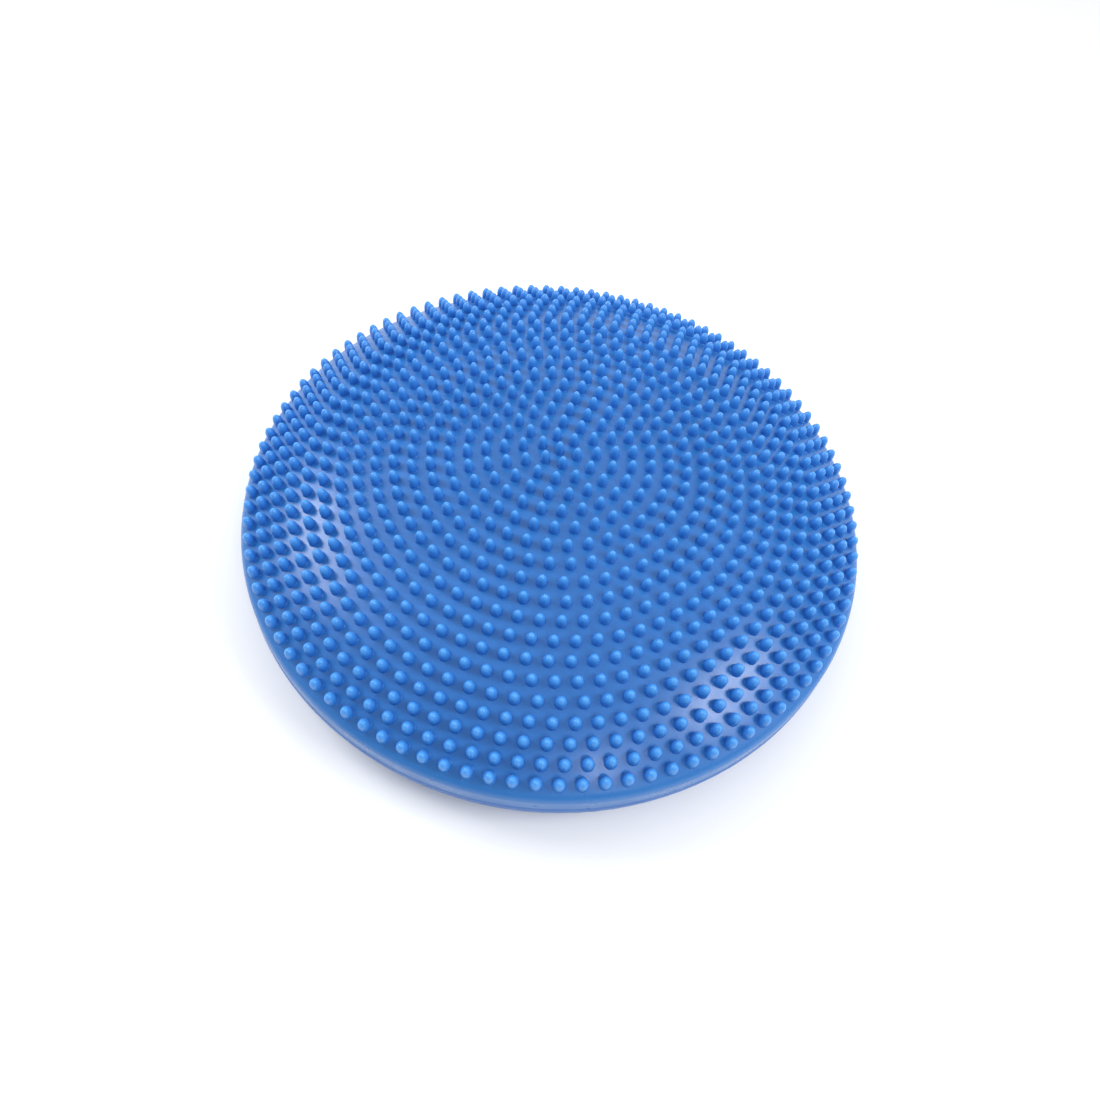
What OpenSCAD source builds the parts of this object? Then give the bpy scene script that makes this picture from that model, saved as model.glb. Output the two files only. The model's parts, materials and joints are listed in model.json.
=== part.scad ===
// Inflatable balance cushion: a low blue air dome covered in rings of massage nubs.
// Units are millimetres. +Z is up, the origin is the centre of the underside, on the floor.
// The valve is at the back, on +Y.

/* [Cushion body] */
// Widest diameter, over the weld bead
overall_diameter = 330; // [280:5:380]
// Thickness of the PVC skin
skin = 3; // [2:0.1:4]
// Radius of the broad, nearly flat crown
crown_radius = 575; // [450:5:700]
// Slope where the crown turns into the shoulder, in degrees
crown_slope = 11.1; // [8:0.1:14]
// Slope where the shoulder turns into the rolled edge, in degrees
edge_slope = 32.3; // [28:0.1:40]
// Radius of the rolled edge above the side wall
rim_radius = 5; // [4:0.5:10]
// Height of the upright side wall, from the weld bead's lower edge to the rolled edge
wall_height = 11; // [9:0.5:14]
// How far the crown can be pressed down on its air
press_travel = 6; // [2:0.5:8]

/* [Weld bead] */
// Height of the bead's lower edge above the floor
bead_bottom = 18; // [14:0.5:26]
// Height of the bead
bead_height = 4; // [3.5:0.5:6]
// Width of the bead across the rim
bead_width = 5; // [4:0.5:8]
// How far the bead stands proud of the skin
bead_proud = 0.4; // [0.2:0.1:1]

/* [Massage nubs] */
// Distance from the outermost ring of nubs to the side wall
ring_inset = 6; // [5:0.5:12]
// Number of rings of nubs round the centre nub
ring_count = 18; // [12:1:20]
// Rings, from the centre, in which every ring has six nubs more than the one inside it
packed_rings = 9; // [4:1:12]
// Nubs that each ring beyond those has more than the one inside it
later_nubs = 5.25; // [4:0.25:6]
// Rings that are turned by half a nub's spacing
staggered_rings = [2, 4, 6, 7, 11, 12, 14];
// Direction in which the other rings start, in degrees from +X
start_angle = 43.5; // [0:0.5:90]
// How much wider the inner rings are spaced than the outer ones
ring_bunching = 0.07; // [0:0.001:0.12]
// Height of a nub above the skin
nub_height = 7.8; // [3:0.1:8]
// Diameter of a nub at the skin
nub_base = 5; // [4:0.1:7]
// Diameter of a nub below its rounded tip
nub_neck = 4.3; // [3:0.1:6]
// Diameter of the nub's tip
nub_tip = 2.2; // [1:0.1:4]
// Height of the outermost nubs as a share of the middle nub's
rim_nub_height = 0.88; // [0.7:0.01:1]
// Width of the outermost nubs as a share of the middle nub's
rim_nub_width = 1.14; // [1:0.01:1.3]

/* [Underside] */
// Radius of the lower corner
corner_radius = 14; // [10:0.5:18]
// Slope of the underside where it meets the corner, in degrees
underside_slope = 12; // [8:0.5:20]
// Depth of the grip ribs
rib_depth = 0.8; // [0.4:0.1:2]
// Width of the grip ribs
rib_width = 4; // [2:0.5:8]
// Number of grip ribs round the centre pad
rib_count = 4; // [2:1:6]

/* [Valve] */
// Angle of the valve below the horizontal, in degrees
valve_tilt = 30; // [20:1:40]
// Diameter of the valve housing's flange
flange_diameter = 10; // [8:0.5:12]
// Length of the valve housing inside the skin
housing_depth = 13; // [10:0.5:18]
// Diameter of the plug's stem
stem_diameter = 3; // [2:0.1:4]
// Length of the plug's stem
stem_length = 9; // [6:0.5:12]
// Radial running clearance between the plug's stem and the valve
stem_clearance = 0.05; // [0.02:0.01:0.1]

/* [Hidden] */
round_fn = 96;
small_fn = 48;
nub_fn = 24;
joint_gap = 0.3;      // between the rim wall and the crown that presses down on it
weld_overlap = 1.5;   // how far each welded edge runs into the bead
nub_root = 0.5;       // how far each nub is rooted in the skin at its lowest side
hair = 0.02;          // lets each arc of a section stand just clear of the arc before it

outer_r = overall_diameter / 2;
skin_r = outer_r - bead_proud;
bead_top = bead_bottom + bead_height;

// Upper section: an upright wall and three tangent arcs, rolled edge, shoulder and crown,
// worked out from the wall upwards.
rim_x = skin_r - rim_radius;
rim_z = bead_bottom + wall_height;
edge_r = rim_x + rim_radius * sin(edge_slope);
edge_z = rim_z + rim_radius * cos(edge_slope);
shoulder_radius = (edge_r - crown_radius * sin(crown_slope)) / (sin(edge_slope) - sin(crown_slope));
shoulder_x = edge_r - shoulder_radius * sin(edge_slope);
shoulder_z = edge_z - shoulder_radius * cos(edge_slope);
crown_z = shoulder_z + (shoulder_radius - crown_radius) * cos(crown_slope);
body_height = crown_z + crown_radius;
crown_edge = crown_radius * sin(crown_slope);

// The crown moves as one down to this height; the rim wall below it has to be taller than its travel.
split_z = bead_top + press_travel + 5;

// Lower section: a flat patch, a shallow arc and a corner arc.
corner_x = skin_r - corner_radius;
corner_z = bead_bottom;
belly_radius = (bead_bottom - rib_depth - corner_radius * cos(underside_slope)) / (1 - cos(underside_slope));
belly_x = corner_x + (corner_radius - belly_radius) * sin(underside_slope);
belly_z = rib_depth + belly_radius;

// Valve frame: a point on the lower corner, with the valve's axis along the corner's normal.
valve_y = corner_x + corner_radius * cos(valve_tilt);
valve_z = corner_z - corner_radius * sin(valve_tilt);
flange_sunk = 0.5;
flange_thickness = 1.2;
insert_diameter = 5.4;
plug_head_diameter = 6;
plug_head_thickness = 1.6;

function ring_r(k) = (skin_r - ring_inset) * (k / ring_count) * (1 + ring_bunching * (1 - pow(k / ring_count, 3)));
function ring_nubs(k) = k <= packed_rings ? 6 * k : round(6 * packed_rings + later_nubs * (k - packed_rings));
function nub_step(k) = 360 / ring_nubs(k);
function ring_start(k) = start_angle + (len(search(k, staggered_rings)) > 0 ? nub_step(k) / 2 : 0);
function slope_at(r) = r < crown_edge ? asin(r / crown_radius) : asin((r - shoulder_x) / shoulder_radius);
// Nubs stand square to the crown; on the steeper shoulder they lean no further.
function lean_at(r) = min(slope_at(r), crown_slope);
function skin_z(r) = r < crown_edge
    ? crown_z + sqrt(pow(crown_radius, 2) - pow(r, 2))
    : shoulder_z + sqrt(pow(shoulder_radius, 2) - pow(r - shoulder_x, 2));

skin_blue = [0.14, 0.33, 0.66];
nub_blue = [0.10, 0.36, 0.76];
valve_grey = [0.16, 0.18, 0.22];
plug_white = [0.86, 0.87, 0.88];

// Everything inside the upper skin's surface, moved in by inset: three discs, each inside the one
// before it, with the larger ones cut off where the next takes over.
module upper_section(inset) {
    crown_r = crown_radius - inset;
    shoulder_r = shoulder_radius - inset;
    rim_r = rim_radius - inset;
    intersection() {
        union() {
            intersection() {
                translate([0, crown_z]) circle(r = crown_r, $fn = round_fn);
                square([crown_r * sin(crown_slope), body_height + 10]);
            }
            intersection() {
                translate([shoulder_x, shoulder_z]) circle(r = shoulder_r + hair, $fn = round_fn);
                square([shoulder_x + shoulder_r * sin(edge_slope), body_height]);
            }
            translate([rim_x, rim_z]) circle(r = rim_r + 2 * hair, $fn = round_fn);
            square([skin_r - inset + hair, rim_z]);
        }
        translate([0, bead_bottom]) square([outer_r, body_height]);
    }
}

module upper_skin_section() {
    difference() {
        upper_section(0);
        upper_section(skin);
    }
}

module upper_shell() {
    color(skin_blue) rotate_extrude($fn = round_fn) intersection() {
        upper_skin_section();
        translate([0, split_z]) square([outer_r, body_height]);
    }
}

module rim_wall() {
    color(skin_blue) rotate_extrude($fn = round_fn) intersection() {
        upper_skin_section();
        translate([0, bead_top - weld_overlap]) square([outer_r, split_z - joint_gap - bead_top + weld_overlap]);
    }
}

// Height and width both change evenly from the middle (out = 0) to the outermost ring (out = 1).
// The skin under the nub is steeper than the nub leans by the given angle.
module nub(out, steeper) {
    height = nub_height * (1 + (rim_nub_height - 1) * out);
    wide = 1 + (rim_nub_width - 1) * out;
    root = nub_root + wide * nub_base / 2 * tan(steeper);
    rotate_extrude($fn = nub_fn) polygon([
        [0, -root],
        [wide * nub_base / 2, -root],
        [wide * nub_neck / 2, 0.62 * height],
        [wide * nub_tip / 2, height],
        [0, height]
    ]);
}

module nub_field() {
    color(nub_blue) {
        translate([0, 0, body_height]) nub(0, 0);
        for (k = [1 : ring_count], i = [0 : ring_nubs(k) - 1])
            rotate([0, 0, ring_start(k) + i * nub_step(k)])
                translate([ring_r(k), 0, skin_z(ring_r(k))])
                    rotate([0, lean_at(ring_r(k)), 0])
                        nub(k / ring_count, slope_at(ring_r(k)) - lean_at(ring_r(k)));
    }
}

module weld_bead() {
    corner = 1.2;
    inner = outer_r - bead_width;
    color(skin_blue) rotate_extrude($fn = round_fn) union() {
        translate([inner, bead_bottom]) square([bead_width - corner, bead_height]);
        translate([inner, bead_bottom + corner]) square([bead_width, bead_height - 2 * corner]);
        translate([outer_r - corner, bead_bottom + corner]) circle(r = corner, $fn = small_fn);
        translate([outer_r - corner, bead_top - corner]) circle(r = corner, $fn = small_fn);
    }
}

// Everything inside the lower skin's surface, moved in by inset, built the same way.
module lower_section(inset) {
    belly_r = belly_radius - inset;
    corner_r = corner_radius - inset;
    union() {
        translate([0, rib_depth + inset]) square([belly_x, bead_bottom]);
        intersection() {
            translate([belly_x, belly_z]) circle(r = belly_r + hair, $fn = round_fn);
            square([belly_x + belly_r * sin(underside_slope), belly_z]);
        }
        translate([corner_x, corner_z]) circle(r = corner_r + 2 * hair, $fn = round_fn);
        translate([corner_x, corner_z]) square([skin_r - corner_x - inset + hair, bead_height]);
    }
}

module lower_shell() {
    rib_pitch = (belly_x - rib_width) / (rib_count + 0.5);
    color(skin_blue) difference() {
        rotate_extrude($fn = round_fn) union() {
            intersection() {
                difference() {
                    lower_section(0);
                    lower_section(skin);
                }
                square([outer_r, bead_bottom + weld_overlap]);
            }
            square([rib_pitch / 2, rib_depth + skin / 2]);
            for (k = [1 : rib_count])
                translate([rib_pitch * (k + 0.5) - rib_width / 2, 0]) square([rib_width, rib_depth + skin / 2]);
        }
        valve_frame() translate([0, 0, -skin - 5]) cylinder(d = insert_diameter + 2.2, h = skin + 10, $fn = small_fn);
    }
}

// Puts children on the valve's axis, with their +Z pointing out of the cushion.
module valve_frame() {
    translate([0, valve_y, valve_z]) rotate([-90 - valve_tilt, 0, 0]) children();
}

module valve_housing() {
    wall = 1.4;
    color(skin_blue) valve_frame() difference() {
        union() {
            translate([0, 0, -flange_sunk]) cylinder(d = flange_diameter, h = flange_thickness, $fn = small_fn);
            translate([0, 0, -housing_depth]) cylinder(d = insert_diameter + 2 * wall, h = housing_depth, $fn = small_fn);
        }
        translate([0, 0, -housing_depth - 1]) cylinder(d = insert_diameter, h = housing_depth + 3, $fn = small_fn);
    }
}

module valve_insert() {
    bore = stem_diameter + 2 * stem_clearance;
    color(valve_grey) valve_frame() difference() {
        translate([0, 0, -housing_depth]) cylinder(d = insert_diameter, h = housing_depth + 0.4, $fn = small_fn);
        translate([0, 0, -stem_length - 0.5]) cylinder(d = bore, h = stem_length + 2, $fn = small_fn);
    }
}

module valve_plug() {
    head_z = flange_thickness - flange_sunk + joint_gap;
    color(plug_white) valve_frame() union() {
        translate([0, 0, -stem_length]) cylinder(d = stem_diameter, h = stem_length + head_z + 0.5, $fn = small_fn);
        translate([0, 0, head_z])
            cylinder(d1 = plug_head_diameter, d2 = plug_head_diameter - 0.8, h = plug_head_thickness, $fn = small_fn);
    }
}

upper_shell();
nub_field();
rim_wall();
weld_bead();
lower_shell();
valve_housing();
valve_insert();
valve_plug();
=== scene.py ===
"""Looks of the inflatable balance cushion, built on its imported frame.

The upper skin, the nubs, the weld bead, the valve housing and the valve plug are smooth meshes that
stand for their CAD nodes. The lower skin and the valve insert keep theirs. Sizes come from the frame.
"""
import json
import math

import bmesh
import bpy
import numpy as np
from mathutils import Matrix, Vector


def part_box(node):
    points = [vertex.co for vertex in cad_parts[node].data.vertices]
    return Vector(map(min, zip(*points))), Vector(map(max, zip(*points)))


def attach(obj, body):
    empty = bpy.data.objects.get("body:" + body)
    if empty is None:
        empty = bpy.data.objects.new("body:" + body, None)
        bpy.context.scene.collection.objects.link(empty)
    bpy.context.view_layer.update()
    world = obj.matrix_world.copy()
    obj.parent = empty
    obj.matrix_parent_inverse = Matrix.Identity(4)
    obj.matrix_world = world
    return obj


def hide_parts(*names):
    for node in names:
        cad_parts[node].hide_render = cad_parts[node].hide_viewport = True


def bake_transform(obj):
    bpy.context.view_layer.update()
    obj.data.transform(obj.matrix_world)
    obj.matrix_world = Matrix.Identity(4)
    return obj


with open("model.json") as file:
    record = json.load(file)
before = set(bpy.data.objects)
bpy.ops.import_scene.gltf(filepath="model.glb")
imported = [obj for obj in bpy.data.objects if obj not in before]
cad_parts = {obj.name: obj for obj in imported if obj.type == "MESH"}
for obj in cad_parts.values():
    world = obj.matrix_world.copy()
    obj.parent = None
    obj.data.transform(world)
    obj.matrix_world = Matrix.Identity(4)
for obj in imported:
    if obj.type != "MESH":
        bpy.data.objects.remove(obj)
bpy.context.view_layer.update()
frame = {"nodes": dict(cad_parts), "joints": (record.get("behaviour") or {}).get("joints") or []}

MM = 0.001
TURN = 2 * math.pi
AROUND = 288
NUB_AROUND = 16
# Radius of a nub that is seen, as a share of its CAD nub's widest radius
NUB_FILL = 0.985

# ---------------------------------------------------------------- sizes from the frame

rim_low, rim_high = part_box("rim_wall")
shell_low, shell_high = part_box("upper_shell")
bead_low, bead_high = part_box("weld_bead")
diameter = bead_high.x - bead_low.x
top = shell_high.z
crown_top = Vector((0, 0, top))


def wall_thickness():
    """Thickness of the upright side wall, from the radii of the CAD mesh's lower edge."""
    edge = [v.co for v in frame["nodes"]["rim_wall"].data.vertices if v.co.z < rim_low.z + 0.1 * MM]
    radii = [math.hypot(c.x, c.y) for c in edge]
    return max(radii) - min(radii)


skin_thickness = wall_thickness()


# ---------------------------------------------------------------- camera, first

def make_camera():
    """The photograph's view: from the front, about 53 degrees above the floor and a little rolled."""
    elevation = math.radians(52.68)
    roll = math.radians(-6.15)
    distance = 1.244 * diameter
    aside = 0.0148 * diameter
    below = 0.0515 * diameter
    right = Vector((1, 0, 0))
    forward = Vector((0, math.cos(elevation), -math.sin(elevation)))
    up = Vector((0, math.sin(elevation), math.cos(elevation)))
    turned_right = math.cos(roll) * right - math.sin(roll) * up
    turned_up = math.sin(roll) * right + math.cos(roll) * up
    place = crown_top - aside * turned_right - below * turned_up - distance * forward
    data = bpy.data.cameras.new("camera")
    data.sensor_width = 36
    data.lens = 26.18
    data.shift_y = -0.059
    data.clip_start = 0.01
    camera = bpy.data.objects.new("camera", data)
    axes = Matrix((turned_right, turned_up, -forward)).transposed()
    camera.matrix_world = Matrix.Translation(place) @ axes.to_4x4()
    bpy.context.collection.objects.link(camera)
    bpy.context.scene.camera = camera


make_camera()


# ---------------------------------------------------------------- mesh tools

def add_mesh(name, points, faces):
    """A smooth-shaded mesh object in the row frame, built from the given points and faces."""
    mesh = bpy.data.meshes.new(name)
    mesh.from_pydata([tuple(p) for p in points], [], [tuple(f) for f in faces])
    mesh.validate()
    mesh.polygons.foreach_set("use_smooth", [True] * len(mesh.polygons))
    obj = bpy.data.objects.new(name, mesh)
    bpy.context.collection.objects.link(obj)
    return obj


def revolve(name, profile, around=AROUND):
    """Turns a closed loop of (radius, height) points about Z. Points on the axis become single poles."""
    points = []
    rings = []
    for r, z in profile:
        if r < 1e-7:
            rings.append([len(points)] * around)
            points.append((0, 0, z))
        else:
            rings.append(list(range(len(points), len(points) + around)))
            points.extend((r * math.cos(TURN * i / around), r * math.sin(TURN * i / around), z)
                          for i in range(around))
    faces = []
    for a, b in zip(rings, rings[1:] + rings[:1]):
        for i in range(around):
            j = (i + 1) % around
            corners = list(dict.fromkeys([a[i], a[j], b[j], b[i]]))
            if len(corners) > 2:
                faces.append(corners)
    obj = add_mesh(name, points, faces)
    tidy = bmesh.new()
    tidy.from_mesh(obj.data)
    bmesh.ops.recalc_face_normals(tidy, faces=tidy.faces)
    tidy.to_mesh(obj.data)
    tidy.free()
    return obj


def arc(centre, radius, start, end, steps):
    """Points on an arc; angles in degrees from the +radius direction, towards +Z."""
    angles = [math.radians(start + (end - start) * i / steps) for i in range(steps + 1)]
    return [(centre[0] + radius * math.cos(a), centre[1] + radius * math.sin(a)) for a in angles]


def resample(stations, spacing):
    """A smooth curve through the stations, level where it starts and upright where it ends."""
    p = np.array(stations, float)
    along = np.concatenate([[0], np.cumsum(np.linalg.norm(np.diff(p, axis=0), axis=1))])
    slope = np.gradient(p, along, axis=0)
    slope[0] = (1, 0)
    slope[-1] = (0, -1)
    count = max(2, round(along[-1] / spacing))
    result = []
    for s in np.linspace(0, along[-1], count + 1):
        i = min(max(np.searchsorted(along, s) - 1, 0), len(p) - 2)
        h = along[i + 1] - along[i]
        t = (s - along[i]) / h
        result.append(
            (1 + 2 * t) * (1 - t) ** 2 * p[i]
            + t * (1 - t) ** 2 * h * slope[i]
            + t * t * (3 - 2 * t) * p[i + 1]
            + t * t * (t - 1) * h * slope[i + 1]
        )
    return [(float(r), float(z)) for r, z in result]


def offset_inwards(profile, depth):
    """The same curve moved to its inner side, which is on the right when walking outwards from the axis."""
    p = np.array(profile)
    tangent = np.gradient(p, axis=0)
    tangent /= np.linalg.norm(tangent, axis=1)[:, None]
    inner = p + depth * np.stack([tangent[:, 1], -tangent[:, 0]], axis=1)
    return [(max(float(r), 0.0), float(z)) for r, z in inner]


def outer_stations(nodes):
    """(radius, height) of each ring of vertices on the nodes' upper, outer side."""
    found = set()
    for node in nodes:
        mesh = frame["nodes"][node].data
        for face in mesh.polygons:
            x, y = face.center.x, face.center.y
            r = math.hypot(x, y)
            if r < 1e-6:
                continue
            outward = (face.normal.x * x + face.normal.y * y) / r
            if outward + face.normal.z < 0.3 or abs(face.normal.z) > 0.99999:
                continue
            for v in face.vertices:
                c = mesh.vertices[v].co
                found.add((round(math.hypot(c.x, c.y), 5), round(c.z, 5)))
    return found


def thin_out(stations, gap):
    """Drops stations that lie closer than gap to the one before."""
    kept = []
    for s in stations:
        if not kept or math.dist(s, kept[-1]) > gap:
            kept.append(s)
    return kept


# ---------------------------------------------------------------- upper skin

upper = sorted(outer_stations(["upper_shell", "rim_wall"]), key=lambda s: (-s[1], s[0]))
upper = thin_out([(0.0, top)] + [s for s in upper if s[1] < top - 1e-5], 0.5 * MM)
upper_outline = resample(upper, 1.0 * MM)
skin = revolve("upper_skin", upper_outline + offset_inwards(upper_outline, skin_thickness)[::-1])
outline_r = np.array([r for r, z in upper_outline])
outline_z = np.array([z for r, z in upper_outline])


# ---------------------------------------------------------------- nubs

def nub_shapes():
    """Tip, direction and radius of every CAD nub, from the islands of the nub field's mesh."""
    work = bmesh.new()
    work.from_mesh(frame["nodes"]["nub_field"].data)
    bmesh.ops.remove_doubles(work, verts=work.verts, dist=1e-5)
    work.verts.ensure_lookup_table()
    seen = [False] * len(work.verts)
    tips = []
    axes = []
    radii = []
    for first in work.verts:
        if seen[first.index]:
            continue
        seen[first.index] = True
        island = [first]
        for v in island:
            for e in v.link_edges:
                other = e.other_vert(v)
                if not seen[other.index]:
                    seen[other.index] = True
                    island.append(other)
        p = np.array([v.co for v in island])
        middle = p.mean(axis=0)
        axis = np.linalg.svd(p - middle, full_matrices=False)[2][0]
        axis = axis * np.sign(axis[2])
        height = (p - middle) @ axis
        tips.append(middle + axis * height.max())
        axes.append(axis)
        radii.append(np.linalg.norm(p - middle - height[:, None] * axis, axis=1).max())
    work.free()
    return np.array(tips), np.array(axes), np.array(radii)


def nub_profile():
    """(radius, height) down a nub from its tip, as shares of its radius and its height.

    The body is egg-shaped, and its foot flares softly into the skin.
    """
    body = [(math.sqrt(1 - t ** 2.5), t) for t in (0.99, 0.95, 0.87, 0.76, 0.63, 0.49, 0.35, 0.22)]
    return body + [(1.005, 0.10), (1.02, 0.05), (1.06, 0.015), (1.13, -0.006)]


def skin_height(x, y):
    """Height of the upper skin over a point on the floor."""
    return np.interp(np.hypot(x, y), outline_r, outline_z)


def make_nubs():
    """All nubs as one mesh. Each leans as its CAD nub does and is rooted in the skin."""
    tips, axes, radius = nub_shapes()
    height = np.full(len(tips), 5 * MM)
    for _ in range(6):
        base = tips - height[:, None] * axes
        height = height + (base[:, 2] - skin_height(base[:, 0], base[:, 1])) / axes[:, 2]
    base = tips - height[:, None] * axes
    radius = NUB_FILL * radius
    across = np.cross(axes, (0, 1, 0))
    across /= np.linalg.norm(across, axis=1)[:, None]
    along = np.cross(axes, across)
    angles = TURN * np.arange(NUB_AROUND) / NUB_AROUND
    ring = np.cos(angles)[None, :, None] * across[:, None]
    ring = ring + np.sin(angles)[None, :, None] * along[:, None]
    levels = nub_profile() + [(0.9, -0.11)]
    per_nub = 1 + len(levels) * NUB_AROUND
    points = np.zeros((len(tips), per_nub, 3))
    rise = np.zeros((len(tips), per_nub))
    points[:, 0] = tips
    rise[:, 0] = 1
    for level, (out, up) in enumerate(levels):
        first = 1 + level * NUB_AROUND
        foot = base[:, None] + out * radius[:, None, None] * ring
        lift = skin_height(foot[..., 0], foot[..., 1]) - foot[..., 2]
        lift = lift * (1 - max(up, 0)) ** 2 + up * height[:, None]
        points[:, first:first + NUB_AROUND] = foot + lift[..., None] * axes[:, None]
        rise[:, first:first + NUB_AROUND] = max(up, 0)
    one = []
    for i in range(NUB_AROUND):
        j = (i + 1) % NUB_AROUND
        one.append((0, 1 + i, 1 + j))
        for level in range(len(levels) - 1):
            a = 1 + level * NUB_AROUND
            b = a + NUB_AROUND
            one.append((a + i, b + i, b + j, a + j))
    one.append(tuple(per_nub - 1 - i for i in range(NUB_AROUND)))
    faces = [tuple(v + n * per_nub for v in face) for n in range(len(tips)) for face in one]
    obj = add_mesh("nubs", points.reshape(-1, 3), faces)
    # rise goes from 0 at the foot to 1 at the tip; the nub material uses it to paint its tip highlight
    attribute = obj.data.attributes.new("rise", "FLOAT", "POINT")
    attribute.data.foreach_set("value", rise.reshape(-1))
    foot = 1 + (len(levels) - 2) * NUB_AROUND
    ends = np.zeros(2 * len(obj.data.edges), int)
    obj.data.edges.foreach_get("vertices", ends)
    within = ends.reshape(-1, 2) % per_nub
    sharp = ((within >= foot) & (within < foot + NUB_AROUND)).all(axis=1)
    obj.data.attributes.new("sharp_edge", "BOOLEAN", "EDGE").data.foreach_set("value", sharp)
    return obj


nubs = make_nubs()


# ---------------------------------------------------------------- weld bead

def make_bead():
    """The welded seam: a low band, rounded below and easing into the side wall above."""
    outer = bead_high.x
    wall = rim_high.x
    inner = wall - skin_thickness
    low = bead_low.z
    high = bead_high.z
    soft = 1.4 * MM
    fading = 2 * MM
    steps = 8
    profile = [(inner, low), (outer - soft, low)]
    profile += arc((outer - soft, low + soft), soft, -80, 0, steps)
    for i in range(steps + 1):
        ease = (1 + math.cos(math.pi * i / steps)) / 2
        profile.append((wall + ease * (outer - wall), high - (1 - i / steps) * fading))
    profile.append((inner, high))
    return revolve("weld_seam", profile)


bead = make_bead()


# ---------------------------------------------------------------- valve

valve_axis = Vector(next(j["axis"] for j in frame["joints"] if j["name"] == "plug_pull")).normalized()


def valve_line(node):
    """A node turned about the valve's axis: a point on that axis, and each vertex's (radius, way along it)."""
    p = np.array([v.co for v in frame["nodes"][node].data.vertices])
    axis = np.array(valve_axis)
    across = np.array(valve_axis.orthogonal().normalized())
    along = np.cross(axis, across)
    u = p @ across
    v = p @ along
    mid_u = (u.min() + u.max()) / 2
    mid_v = (v.min() + v.max()) / 2
    origin = Vector(mid_u * across + mid_v * along)
    return origin, np.hypot(u - mid_u, v - mid_v), p @ axis


def on_valve_line(obj, origin):
    """Lays a piece turned about Z along the valve's axis."""
    turn = Vector((0, 0, 1)).rotation_difference(valve_axis).to_matrix().to_4x4()
    obj.data.transform(Matrix.Translation(origin) @ turn)
    return obj


def make_plug():
    """The pull-out plug: a tapered stem with a sealing ring, and a rounded head with a dished top."""
    origin, radius, way = valve_line("valve_plug")
    near = way.min()
    far = way.max()
    stem = radius[way < near + 0.1 * MM].max()
    head = radius.max()
    under = way[radius > 1.3 * stem].min()
    soft = 0.35 * MM
    dish = 0.62 * head
    profile = [(0, near), (0.62 * stem, near), (0.92 * stem, near + 0.5 * MM), (stem, near + 1.1 * MM)]
    profile += [(stem, under - 1.6 * MM), (0.86 * stem, under - 1.2 * MM), (0.86 * stem, under - 0.5 * MM)]
    profile += [(stem, under - 0.2 * MM), (stem, under), (head - soft, under)]
    profile += arc((head - soft, under + soft), soft, -80, 0, 6)
    profile += arc((head - soft - 0.2 * MM, far - soft), soft, 10, 90, 6)
    profile += [(dish + 0.25 * MM, far), (dish, far - 0.12 * MM), (dish - 0.3 * MM, far - 0.42 * MM)]
    profile += [(0.3 * dish, far - 0.5 * MM), (0, far - 0.5 * MM)]
    return on_valve_line(revolve("plug_body", profile, 64), origin)


def make_housing():
    """The valve housing: its flange has a rolled edge and a shallow step round the mouth."""
    origin, radius, way = valve_line("valve_housing")
    near = way.min()
    far = way.max()
    flange = radius.max()
    bore = radius.min()
    tube = radius[way < near + 0.1 * MM].max()
    under = way[radius > 1.1 * tube].min()
    soft = 0.4 * MM
    profile = [(bore, near), (tube - 0.2 * MM, near), (tube, near + 0.2 * MM), (tube, under)]
    profile += [(flange - soft, under)]
    profile += arc((flange - soft, far - 2 * soft), soft, -60, 0, 4)
    profile += arc((flange - soft, far - 1.3 * soft), soft, 10, 80, 6)
    profile += [(bore + 1.1 * MM, far - 0.1 * MM), (bore + 0.9 * MM, far - 0.02 * MM)]
    profile += [(bore + 0.25 * MM, far)]
    profile += [(bore + 0.06 * MM, far - 0.08 * MM), (bore, far - 0.25 * MM)]
    return on_valve_line(revolve("housing_body", profile, 64), origin)


plug = make_plug()
housing = make_housing()

# ---------------------------------------------------------------- materials

def srgb(r, g, b):
    """A linear colour from everyday 0 to 255 values."""
    def linear(c):
        c /= 255
        return c / 12.92 if c <= 0.04045 else ((c + 0.055) / 1.055) ** 2.4
    return (linear(r), linear(g), linear(b), 1)


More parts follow.
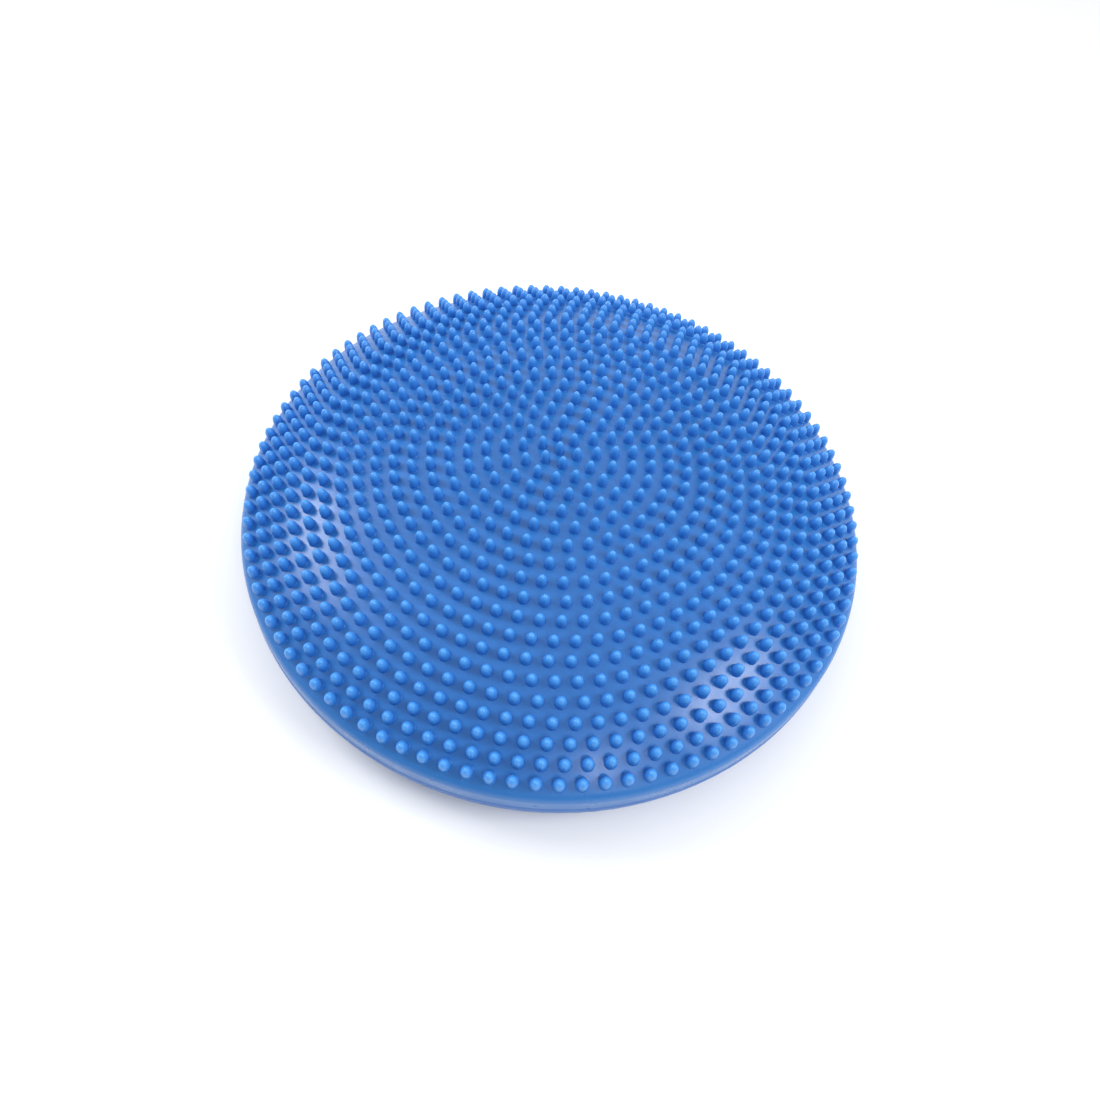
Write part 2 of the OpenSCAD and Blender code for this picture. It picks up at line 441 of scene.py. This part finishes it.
class Nodes:
    """Short calls for building a node material."""

    def __init__(self, name):
        self.material = bpy.data.materials.new(name)
        self.material.use_nodes = True
        self.tree = self.material.node_tree
        self.tree.nodes.clear()
        self.shader = self.add("ShaderNodeBsdfPrincipled")
        output = self.add("ShaderNodeOutputMaterial")
        self.link(self.shader.outputs[0], output.inputs["Surface"])
        self.place = self.add("ShaderNodeTexCoord").outputs["Object"]

    def add(self, kind, **settings):
        node = self.tree.nodes.new(kind)
        for key, value in settings.items():
            setattr(node, key, value)
        return node

    def link(self, a, b):
        self.tree.links.new(a, b)

    def noise(self, scale, detail):
        node = self.add("ShaderNodeTexNoise")
        node.inputs["Scale"].default_value = scale
        node.inputs["Detail"].default_value = detail
        self.link(self.place, node.inputs["Vector"])
        return node.outputs["Fac"]

    def spread(self, value, low, high, start=0.35, end=0.65):
        """Maps a 0 to 1 value onto low to high."""
        node = self.add("ShaderNodeMapRange")
        node.inputs["From Min"].default_value = start
        node.inputs["From Max"].default_value = end
        node.inputs["To Min"].default_value = low
        node.inputs["To Max"].default_value = high
        self.link(value, node.inputs["Value"])
        return node.outputs["Result"]

    def blend(self, value, first, second):
        """Mixes two colours, each a fixed colour or the output of another node."""
        node = self.add("ShaderNodeMix", data_type="RGBA")
        self.link(value, node.inputs[0])
        for socket, colour in ((node.inputs[6], first), (node.inputs[7], second)):
            if isinstance(colour, tuple):
                socket.default_value = colour
            else:
                self.link(colour, socket)
        return node.outputs[2]

    def bumps(self, layers):
        """Stacks bump layers, each a height value and how deep it is in metres."""
        normal = None
        for height, depth in layers:
            node = self.add("ShaderNodeBump")
            node.inputs["Strength"].default_value = 1
            node.inputs["Distance"].default_value = depth
            self.link(height, node.inputs["Height"])
            if normal is not None:
                self.link(normal, node.inputs["Normal"])
            normal = node.outputs["Normal"]
        self.link(normal, self.shader.inputs["Normal"])


def vinyl(name, dark, light, rough, tips=None, grain=0.02 * MM, swell=0.25 * MM, soft=0.08):
    """Soft semi-gloss PVC: slightly cloudy colour, a fine moulded grain and a broad, faint swell. Given a tips
    colour, it also paints a highlight: the colour turns lighter towards each nub's tip, where the light from
    above falls.
    """
    n = Nodes(name)
    colour = n.blend(n.spread(n.noise(18, 4), 0, 1), dark, light)
    if tips is not None:
        # painted highlight: the colour turns towards the tips colour as rise goes from foot to tip, standing
        # in for the light from above on the nub tips
        rise = n.add("ShaderNodeAttribute", attribute_name="rise").outputs["Fac"]
        colour = n.blend(n.spread(rise, 0, 1, 0.05, 1.0), colour, tips)
    n.link(colour, n.shader.inputs["Base Color"])
    n.link(n.spread(n.noise(60, 5), rough - 0.04, rough + 0.05), n.shader.inputs["Roughness"])
    n.shader.inputs["Specular IOR Level"].default_value = 0.5
    n.shader.inputs["Subsurface Weight"].default_value = soft
    n.shader.inputs["Subsurface Radius"].default_value = (0.3, 0.6, 1.0)
    n.shader.inputs["Subsurface Scale"].default_value = 2 * MM
    n.bumps([(n.noise(45, 2), swell), (n.noise(1800, 2), grain)])
    return n.material


def plastic(name, dark, light, rough, grain=0.02 * MM):
    """Hard moulded plastic with a fine, slightly uneven finish."""
    n = Nodes(name)
    n.link(n.blend(n.spread(n.noise(120, 3), 0, 1), dark, light), n.shader.inputs["Base Color"])
    n.link(n.spread(n.noise(260, 4), rough - 0.06, rough + 0.06), n.shader.inputs["Roughness"])
    n.bumps([(n.noise(2400, 3), grain)])
    return n.material


skin_material = vinyl("skin_pvc", srgb(38, 110, 182), srgb(44, 115, 188), 0.29)
# the nub tip colour is a painted highlight, lighter than the nubs' own blue, for the light from above on the
# tips
nub_tip_painted_light = srgb(72, 152, 230)
nub_material = vinyl("nub_pvc", srgb(40, 108, 188), srgb(46, 114, 194), 0.28, tips=nub_tip_painted_light, swell=0.05 * MM)
seam_material = vinyl("seam_pvc", srgb(46, 104, 178), srgb(52, 108, 182), 0.38)
under_material = vinyl("underside_pvc", srgb(38, 101, 174), srgb(44, 106, 180), 0.38, grain=0.05 * MM)
rubber_material = plastic("valve_rubber", srgb(38, 42, 50), srgb(48, 52, 60), 0.6)
plug_material = plastic("plug_plastic", srgb(206, 208, 210), srgb(222, 223, 224), 0.38)


def dress(obj, material):
    """Gives every slot of the object, or one new slot, this material."""
    if not obj.data.materials:
        obj.data.materials.append(material)
    for i in range(len(obj.data.materials)):
        obj.data.materials[i] = material


dress(skin, skin_material)
dress(nubs, nub_material)
dress(bead, seam_material)
dress(frame["nodes"]["lower_shell"], under_material)
dress(housing, under_material)
dress(frame["nodes"]["valve_insert"], rubber_material)
dress(plug, plug_material)

# ---------------------------------------------------------------- pieces and bodies

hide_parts("upper_shell", "rim_wall")
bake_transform(skin)
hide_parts("nub_field")
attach(nubs, "crown")
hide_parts("weld_bead")
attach(bead, "base")
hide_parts("valve_housing")
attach(housing, "base")
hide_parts("valve_plug")
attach(plug, "plug")


# ---------------------------------------------------------------- floor, lights and room

def make_floor():
    """A plain pale floor."""
    size = 40 * diameter
    corners = [(-size, -size, 0), (size, -size, 0), (size, size, 0), (-size, size, 0)]
    floor = add_mesh("floor", corners, [(0, 1, 2, 3)])
    floor.location.z = -0.0002
    n = Nodes("floor_paint")
    n.link(n.blend(n.noise(3, 2), srgb(246, 247, 248), srgb(250, 250, 250)), n.shader.inputs["Base Color"])
    n.shader.inputs["Roughness"].default_value = 0.7
    dress(floor, n.material)


def soft_box(name, azimuth, elevation, distance, width, height, power):
    """An area light that looks at the crown. Azimuth is anticlockwise from +X, as seen from above."""
    a = math.radians(azimuth)
    e = math.radians(elevation)
    way = Vector((math.cos(a) * math.cos(e), math.sin(a) * math.cos(e), math.sin(e)))
    data = bpy.data.lights.new(name, "AREA")
    data.shape = "RECTANGLE"
    data.size = width
    data.size_y = height
    data.energy = power
    light = bpy.data.objects.new(name, data)
    light.location = crown_top + distance * way
    light.rotation_euler = (-way).to_track_quat("-Z", "Y").to_euler()
    bpy.context.collection.objects.link(light)


make_floor()
soft_box("left_box", 163, 38, 1.2, 0.50, 0.40, 6.5)
soft_box("right_box", -18, 42, 1.2, 0.50, 0.32, 6.0)
soft_box("front_lamp", -65, 43, 1.1, 0.14, 0.07, 1.1)


def make_world():
    """Soft white studio light from everywhere, brighter behind the object than on the camera's side."""
    world = bpy.data.worlds.new("studio")
    world.use_nodes = True
    tree = world.node_tree
    background = tree.nodes["Background"]
    background.inputs["Color"].default_value = (0.96, 0.98, 1, 1)
    way = tree.nodes.new("ShaderNodeTexCoord")
    parts = tree.nodes.new("ShaderNodeSeparateXYZ")
    fade = tree.nodes.new("ShaderNodeMapRange")
    fade.inputs["From Min"].default_value = -1
    fade.inputs["From Max"].default_value = 1
    fade.inputs["To Min"].default_value = 0.35
    fade.inputs["To Max"].default_value = 1.35
    tree.links.new(way.outputs["Generated"], parts.inputs["Vector"])
    tree.links.new(parts.outputs["Y"], fade.inputs["Value"])
    tree.links.new(fade.outputs["Result"], background.inputs["Strength"])
    bpy.context.scene.world = world


make_world()
bpy.context.scene.view_settings.view_transform = "Standard"

bpy.context.view_layer.update()
